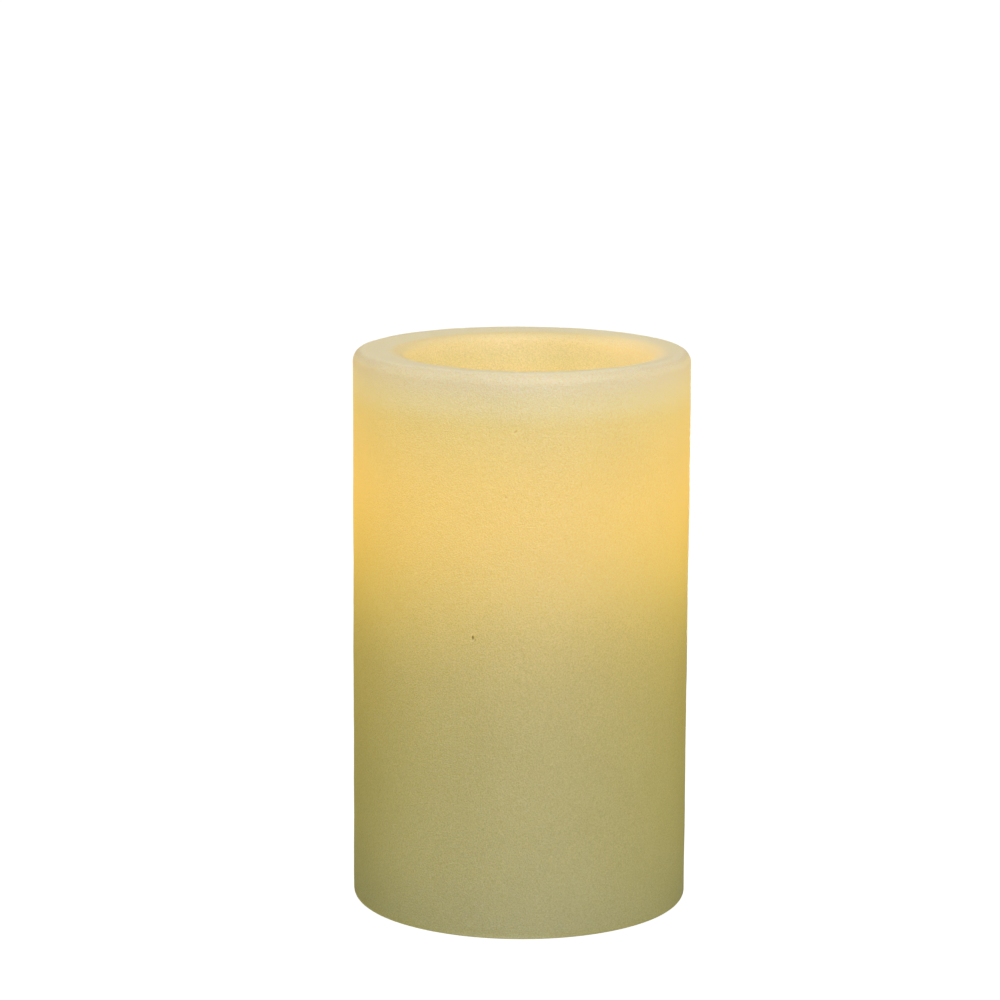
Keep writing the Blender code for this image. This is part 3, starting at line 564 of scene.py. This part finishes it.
def metal(name, colour, rough):
    """Bare metal with fine streaks along Y."""
    look = Look(name)
    streak = look.noise(scale=900.0, detail=3.0, rough=0.6, stretch=(1.0, 0.08, 1.0))
    wear = look.noise(scale=400.0, detail=3.0, rough=0.6)
    look.set(
        Base_Color=look.scale(colour, look.vary(streak, to=(0.93, 1.04))),
        Metallic=1.0,
        Roughness=look.vary(wear, to=(rough - 0.06, rough + 0.1)),
        Normal=look.bump(streak, distance=0.01 * MM, strength=0.3),
    )
    return look.mat


def plain(name, colour, rough, scale, coat=0.0):
    """A lightly uneven surface of one colour."""
    look = Look(name)
    grain = look.noise(scale=scale, rough=0.55)
    look.set(
        Base_Color=look.scale(colour, look.vary(grain, to=(0.92, 1.06))),
        Roughness=look.vary(grain, to=(rough - 0.05, rough + 0.05)),
        Normal=look.bump(grain, distance=0.02 * MM, strength=0.5),
        Coat_Weight=coat,
    )
    return look.mat


def hot_melt():
    """Cloudy glue with a lumpy surface."""
    look = Look("hot_melt_looks")
    cloud = look.vary(look.noise(scale=300.0, detail=3.0), to=(0.9, 1.08))
    lumps = look.noise(scale=260.0, detail=3.0, rough=0.6)
    look.set(
        Base_Color=look.scale((0.74, 0.68, 0.50), cloud),
        Roughness=0.3,
        Subsurface_Weight=0.5,
        Subsurface_Scale=2.0 * MM,
        Normal=look.bump(lumps, distance=0.3 * MM, strength=0.7),
    )
    return look.mat


def flame_skin():
    """Frosted diffuser, brightest round the LED and dimming to its tip."""
    look = Look("flame_pe_looks")
    z = look.xyz()[2]
    glow = look.ramp(
        look.span(z, over=(78.0 * MM, 112.0 * MM)),
        [
            (0.0, (0.62, 0.30, 0.070)),
            (0.25, (1.10, 0.66, 0.19)),
            (0.5, (0.92, 0.50, 0.13)),
            (0.8, (0.62, 0.30, 0.065)),
            (1.0, (0.48, 0.22, 0.045)),
        ],
        "EASE",
    )
    cloud = look.vary(look.noise(scale=180.0), to=(0.96, 1.04))
    look.set(
        Base_Color=(0.90, 0.76, 0.50),
        Roughness=look.vary(look.noise(scale=500.0), to=(0.42, 0.52)),
        Emission_Color=look.scale(glow, cloud),
        Emission_Strength=1.0,
        Normal=look.bump(look.noise(scale=1400.0), distance=0.03 * MM, strength=0.6),
    )
    return look.mat


def led_epoxy():
    """Clear LED lens, glowing more towards its top."""
    look = Look("led_epoxy_looks")
    z = look.xyz()[2]
    look.set(
        Base_Color=(0.95, 0.78, 0.45),
        Roughness=0.12,
        Emission_Color=look.ramp(
            look.span(z, over=(81.0 * MM, 90.0 * MM)),
            [(0.0, (2.0, 1.0, 0.25)), (0.5, (6.0, 3.6, 1.3)), (1.0, (8.0, 5.2, 2.2))],
        ),
        Emission_Strength=1.0,
    )
    return look.mat


def board_mask():
    """Solder mask over copper: tracks show as slightly lighter straight runs."""
    look = Look("board_green_looks")
    x, y, _ = look.xyz()
    rows_per_metre = 450.0
    row_offset, half_pitch = 0.4 * MM, 0.9 * MM
    row = look.math("FLOOR", look.times(y, rows_per_metre))
    lanes = look.math("PINGPONG", look.plus(x, look.times(row, row_offset)), half_pitch)
    track = look.span(lanes, over=(0.5 * MM, 0.56 * MM))
    look.set(
        Base_Color=look.mix(track, (0.012, 0.105, 0.035), (0.03, 0.19, 0.07)),
        Roughness=look.vary(look.noise(scale=500.0), to=(0.28, 0.36)),
        Normal=look.bump(track, distance=0.03 * MM, strength=0.6),
        Coat_Weight=0.3,
    )
    return look.mat


def cell_skin():
    """A dark sleeve with a copper-coloured band at the nub end, and bare steel at both ends."""
    look = Look("cell_sleeve_looks")
    cell_x, cell_y = 7.9 * MM, 4.0 * MM  # the cells' axes stand at +cell_x and -cell_x
    top_nub_z, bottom_nub_z = 57.8 * MM, 5.4 * MM
    dark_blue, copper, bare = (0.02, 0.05, 0.13), (0.62, 0.30, 0.13), (0.62, 0.62, 0.60)
    x, y, z = look.xyz()
    across = look.minus(look.math("ABSOLUTE", x), cell_x)
    radius = look.length(across, look.minus(y, cell_y))
    sleeve = look.span(radius, over=(6.2 * MM, 6.35 * MM))
    # the cell at -X stands nub up, the other nub down
    nub_up = look.math("GREATER_THAN", 0.0, x)
    from_nub = look.plus(
        look.times(nub_up, look.minus(top_nub_z, z)),
        look.times(look.minus(1.0, nub_up), look.minus(z, bottom_nub_z)),
    )
    band = look.span(from_nub, over=(15.0 * MM, 15.2 * MM), to=(1.0, 0.0))
    cloud = look.vary(look.noise(scale=60.0), to=(0.94, 1.05))
    skin = look.scale(look.mix(band, dark_blue, copper), cloud)
    dulling, gloss = 0.75, 0.6  # of the sleeve against the bare ends
    look.set(
        Base_Color=look.mix(sleeve, bare, skin),
        Metallic=look.minus(1.0, look.times(sleeve, dulling)),
        Roughness=look.vary(look.noise(scale=500.0), to=(0.22, 0.34)),
        Coat_Weight=look.times(sleeve, gloss),
    )
    return look.mat


def resistor_bands():
    look = Look("resistor_looks")
    body, band_width = (0.55, 0.40, 0.22), 0.09
    bands = [  # (start along the body, colour)
        (0.18, (0.25, 0.10, 0.03)),
        (0.36, (0.02, 0.02, 0.02)),
        (0.54, (0.45, 0.03, 0.02)),
        (0.80, (0.50, 0.34, 0.08)),
    ]
    stops = [(0.0, body)]
    for start, colour in bands:
        stops += [(start, colour), (start + band_width, body)]
    along = look.span(look.xyz()[0], over=(-1.9 * MM, 1.9 * MM))
    look.set(
        Base_Color=look.ramp(along, stops, "CONSTANT"),
        Roughness=0.35,
        Normal=look.bump(look.noise(scale=900.0), distance=0.02 * MM, strength=0.4),
    )
    return look.mat


def paint(mat, *names):
    for name in names:
        materials = cad_nodes[name].data.materials
        materials.clear()
        materials.append(mat)


ivory = moulded("ivory_abs_looks", (0.72, 0.66, 0.45), rough=0.48)
black = moulded("black_abs_looks", (0.018, 0.018, 0.019), rough=0.5)
steel = metal("zinc_steel_looks", (0.60, 0.61, 0.63), rough=0.32)
nickel = metal("nickel_strip_looks", (0.68, 0.64, 0.57), rough=0.24)
paint(ivory, "base_plate", "battery_door", "door_latch", "battery_housing", "top_cap")
paint(black, "switch_slider", "switch_knob")
paint(steel, "led_lead_anode", "led_lead_cathode", "door_contact_spring", "negative_spring")
paint(steel, "timer_crystal", "switch_frame", "base_screw_1", "base_screw_2", "base_screw_3")
paint(steel, "board_screw_1", "board_screw_2")
paint(nickel, "door_contact_plate", "positive_contact", "negative_contact_plate")

paint(hot_melt(), "adhesive_ring")
diffuser_looks = flame_skin()
paint(diffuser_looks, "flame_bulb")
paint(led_epoxy(), "led_bulb")
paint(board_mask(), "circuit_board")
paint(cell_skin(), "cell_a", "cell_b")
paint(plain("chip_looks", (0.02, 0.02, 0.021), rough=0.5, scale=2200.0), "timer_chip")
capacitor_looks = plain("capacitor_looks", (0.03, 0.035, 0.09), rough=0.28, scale=300.0, coat=0.4)
paint(capacitor_looks, "capacitor")
paint(resistor_bands(), "resistor")
for wire_colour, rgb in (("red", (0.48, 0.02, 0.015)), ("black", (0.018, 0.018, 0.018))):
    insulation = plain(f"wire_{wire_colour}_looks", rgb, rough=0.4, scale=900.0)
    paint(insulation, f"led_wire_{wire_colour}", f"battery_wire_{wire_colour}")


# ================================================================ finer small round pieces
def piece(name, verts, faces, mat, body, node):
    """A smooth piece, given in mm, that stands for a CAD node."""
    mesh = bpy.data.meshes.new(name)
    mesh.from_pydata([(x * MM, y * MM, z * MM) for x, y, z in verts], [], faces)
    bm = bmesh.new()
    bm.from_mesh(mesh)
    bmesh.ops.recalc_face_normals(bm, faces=bm.faces)
    bm.to_mesh(mesh)
    bm.free()
    mesh.update()
    obj = smooth_object(name, mesh, 60)
    mesh.materials.append(mat)
    stand_for(obj, body, node)


def wire(path, radius, sides):
    """A round wire along a path of points, with slightly domed ends."""
    points = [Vector(p) for p in path]
    last = len(points) - 1
    ahead = [
        (points[min(i + 1, last)] - points[max(i - 1, 0)]).normalized() for i in range(last + 1)
    ]
    normal = Vector((0, 0, 1))
    rings, verts, faces = [], [], []
    for point, along in zip(points, ahead):
        normal = (normal - normal.dot(along) * along).normalized()
        side = along.cross(normal)
        rings.append(len(verts))
        for k in range(sides):
            a = 2 * math.pi * k / sides
            verts.append(tuple(point + radius * (math.cos(a) * normal + math.sin(a) * side)))
    for a, b in zip(rings[:-1], rings[1:]):
        for k in range(sides):
            m = (k + 1) % sides
            faces.append((a + k, a + m, b + m, b + k))
    dome = 0.3 * radius
    start_tip = points[0] - dome * ahead[0]
    end_tip = points[-1] + dome * ahead[-1]
    for ring, end in ((rings[0], start_tip), (rings[-1], end_tip)):
        verts.append(tuple(end))
        for k in range(sides):
            faces.append((ring + k, ring + (k + 1) % sides, len(verts) - 1))
    return verts, faces


SPRING_GAUGE = 0.33  # radius of the wire
SPRING_FOOT, SPRING_TAPER = 3.9, 1.5  # coil radius at the wide foot, and its loss to the tip
FLAT_TURNS = 0.75
STEPS_PER_TURN = 48


def contact_spring(name, node, body, turns, downward):
    """A conical spring in the CAD spring's box: a flat part turn at its wide foot, then the rise."""
    lo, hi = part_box(node)
    centre_x, centre_y = 500 * (lo[0] + hi[0]), 500 * (lo[1] + hi[1])
    bottom, top = 1000 * lo[2], 1000 * hi[2]
    if downward:
        start, end = top - SPRING_GAUGE, bottom + SPRING_GAUGE
    else:
        start, end = bottom + SPRING_GAUGE, top - SPRING_GAUGE
    path = []
    for k in range(int(round((turns + FLAT_TURNS) * STEPS_PER_TURN)) + 1):
        turn = k / STEPS_PER_TURN
        climb = max(0.0, (turn - FLAT_TURNS) / turns)
        # mostly an even rise, eased a little at both ends
        rise = climb * climb * (3 - 2 * climb) * 0.25 + climb * 0.75
        r = SPRING_FOOT - SPRING_TAPER * climb
        a = 2 * math.pi * turn
        z = start + (end - start) * rise
        path.append((centre_x + r * math.cos(a), centre_y + r * math.sin(a), z))
    verts, faces = wire(path, SPRING_GAUGE, sides=12)
    piece(name, verts, faces, steel, body, node)


contact_spring("door_spring_coil", "door_contact_spring", "door", turns=2.5, downward=False)
contact_spring("cell_spring_coil", "negative_spring", "candle", turns=2.0, downward=True)


# ---------------------------------------------------------------- flame diffuser
FLAME_SEGMENTS = 96
COLLAR_RADIUS = 9.4
COLLAR_BORE = 8.2
# Outer skin: (radius, height over the foot).
FLAME_OUTSIDE = [
    (COLLAR_RADIUS, 3.8), (10.2, 6.2), (10.7, 9.6), (10.4, 13.2), (9.4, 16.8), (7.9, 20.4),
    (6.1, 23.8), (4.4, 26.8), (2.9, 29.5), (1.6, 31.7), (0.75, 32.9),
]
# Inner skin: (radius, depth under the tip).
FLAME_INSIDE = [
    (3.0, 6.6), (5.0, 9.8), (6.8, 13.2), (8.3, 16.8), (9.3, 20.4), (9.6, 23.8), (9.1, 27.0),
]


def spline(knots, steps):
    """A Catmull-Rom curve through (radius, z) points."""
    knots = [Vector((*knot, 0.0)) for knot in knots]
    knots = [2 * knots[0] - knots[1], *knots, 2 * knots[-1] - knots[-2]]
    out = []
    for i in range(1, len(knots) - 2):
        a, b, c, d = knots[i - 1 : i + 3]
        for j in range(steps):
            t = j / steps
            v = 2 * b + (c - a) * t + (2 * a - 5 * b + 4 * c - d) * t**2
            v = v + (3 * b - a - 3 * c + d) * t**3
            out.append((v.x / 2, v.y / 2))
    out.append((knots[-2].x, knots[-2].y))
    return out


def lathe(profile, segments, lean, verts, faces):
    """Adds (radius, z) points turned about the leaning axis. A point of radius 0 is a pole."""
    rows = []
    for r, z in profile:
        centre = lean(z)
        if r < 1e-6:
            rows.append([len(verts)])
            verts.append((centre, 0.0, z))
            continue
        rows.append(list(range(len(verts), len(verts) + segments)))
        for k in range(segments):
            a = 2 * math.pi * k / segments
            verts.append((centre + r * math.cos(a), r * math.sin(a), z))
    for a, b in zip(rows[:-1], rows[1:]):
        for k in range(segments):
            m = (k + 1) % segments
            if len(a) == 1:
                faces.append((a[0], b[m], b[k]))
            elif len(b) == 1:
                faces.append((a[k], a[m], b[0]))
            else:
                faces.append((a[k], a[m], b[m], b[k]))


def build_diffuser():
    """The CAD flame's two skins as smooth curves, open inside its collar."""
    lo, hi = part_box("flame_bulb")
    foot, tip = 1000 * lo[2], 1000 * hi[2]

    def lean(z):
        """The tip leans a little towards +X, as a drawn flame does."""
        t = max(0.0, (z - foot - 5.6) / 28.0)
        return 1.3 * t * t

    outside = [(COLLAR_RADIUS, foot), (COLLAR_RADIUS, foot + 1.9)]
    outside += spline([(r, foot + up) for r, up in FLAME_OUTSIDE], steps=4)
    outside += [(0.4, tip - 0.06), (0.0, tip)]
    inner_knots = [(r, tip - down) for r, down in FLAME_INSIDE] + [(COLLAR_BORE, foot + 4.0)]
    inside = [(0.0, tip - 4.6), (1.4, tip - 5.0)]
    inside += spline(inner_knots, steps=2)
    inside += [(COLLAR_BORE, foot)]

    verts, faces = [], []
    for profile in (outside, inside):
        lathe(profile, FLAME_SEGMENTS, lean, verts, faces)
    # the ring at the foot joins the first row to the last
    bore = len(verts) - FLAME_SEGMENTS
    for k in range(FLAME_SEGMENTS):
        m = (k + 1) % FLAME_SEGMENTS
        faces.append((k, m, bore + m, bore + k))
    piece("flame_diffuser", verts, faces, diffuser_looks, "candle", "flame_bulb")


build_diffuser()


# ================================================================ stage
def floor_material():
    """A pale glowing floor, clear from below."""
    look = Look("pale_floor")
    look.set(
        Base_Color=(0.34, 0.34, 0.335),
        Roughness=0.9,
        Specular_IOR_Level=0.0,
        Emission_Color=WHITE,
        Emission_Strength=0.93,
    )
    below = look.node("NewGeometry").outputs["Backfacing"]
    clear = look.node("BsdfTransparent").outputs["BSDF"]
    one_sided = look.mix_shader(below, look.bsdf.outputs["BSDF"], clear)
    look.put(look.nodes["Material Output"].inputs["Surface"], one_sided)
    return look.mat


def build_floor():
    """A floor that only the camera sees."""
    half = 6
    corners = [(-half, -half, 0), (half, -half, 0), (half, half, 0), (-half, half, 0)]
    mesh = bpy.data.meshes.new("floor")
    mesh.from_pydata(corners, [], [(0, 1, 2, 3)])
    floor = bpy.data.objects.new("floor", mesh)
    scene.collection.objects.link(floor)
    mesh.materials.append(floor_material())
    floor.visible_diffuse = False
    floor.visible_glossy = False
    floor.visible_transmission = False
    floor.visible_shadow = False


def build_world():
    """Plain white to the camera, and a dim studio to every other ray."""
    world = bpy.data.worlds.new("studio")
    scene.world = world
    world.use_nodes = True
    graph = Graph(world.node_tree)
    studio = graph.nodes["Background"]
    # darker below the table's level, as a table would bounce less than the walls
    direction = graph.node("TexCoord").outputs["Generated"]
    strength = graph.span(graph.split(direction)[2], over=(-0.25, 0.05), to=(0.11, 0.27))
    graph.put(studio.inputs["Color"], WHITE)
    graph.put(studio.inputs["Strength"], strength)
    seen = graph.node("Background", {"Color": WHITE, "Strength": 1.0}).outputs["Background"]
    camera_ray = graph.node("LightPath").outputs["Is Camera Ray"]
    mixed = graph.mix_shader(camera_ray, studio.outputs["Background"], seen)
    graph.put(graph.nodes["World Output"].inputs["Surface"], mixed)


AIM = (0, 0, 0.07)
# Round lamps aimed at the candle: (name, place, diameter, watts, colour).
LAMPS = [
    ("key_front", (0.42, -1.3, 0.75), 0.9, 9.0, (1.0, 1.0, 1.22)),
    ("fill_left", (-1.25, -0.6, 0.66), 0.8, 2.15, WHITE),
    ("back_soft", (0.1, 1.35, -0.12), 0.42, 3.6, WHITE),
    ("top_soft", (0.1, 0.1, 1.5), 1.0, 1.7, WHITE),
    ("under_soft", (-0.1, -0.35, -1.1), 0.8, 2.2, WHITE),
    ("under_base", (0.0, 0.02, -1.3), 0.35, 2.4, WHITE),
]


def add_lamp(name, place, diameter, watts, colour):
    light = bpy.data.lights.new(name, "AREA")
    light.shape = "DISK"
    light.size = diameter
    light.energy = watts
    light.color = colour
    obj = bpy.data.objects.new(name, light)
    scene.collection.objects.link(obj)
    obj.location = place
    obj.rotation_mode = "QUATERNION"
    obj.rotation_quaternion = (Vector(AIM) - Vector(place)).to_track_quat("-Z", "Y")


def add_camera():
    """The camera stands in front, looking slightly down."""
    pitch, roll = 0.1864, 0.0047
    data = bpy.data.cameras.new("camera")
    data.sensor_width = 36.0
    data.lens = 132.24
    camera = bpy.data.objects.new("camera", data)
    scene.collection.objects.link(camera)
    camera.location = (-0.0048, -0.8191, 0.2466)
    camera.rotation_mode = "XYZ"
    turn = Matrix.Rotation(math.pi / 2 - pitch, 4, "X") @ Matrix.Rotation(roll, 4, "Z")
    camera.rotation_euler = turn.to_euler()
    scene.camera = camera


build_floor()
build_world()
for lamp in LAMPS:
    add_lamp(*lamp)
add_camera()
scene.view_settings.view_transform = "Standard"
scene.view_settings.look = "None"
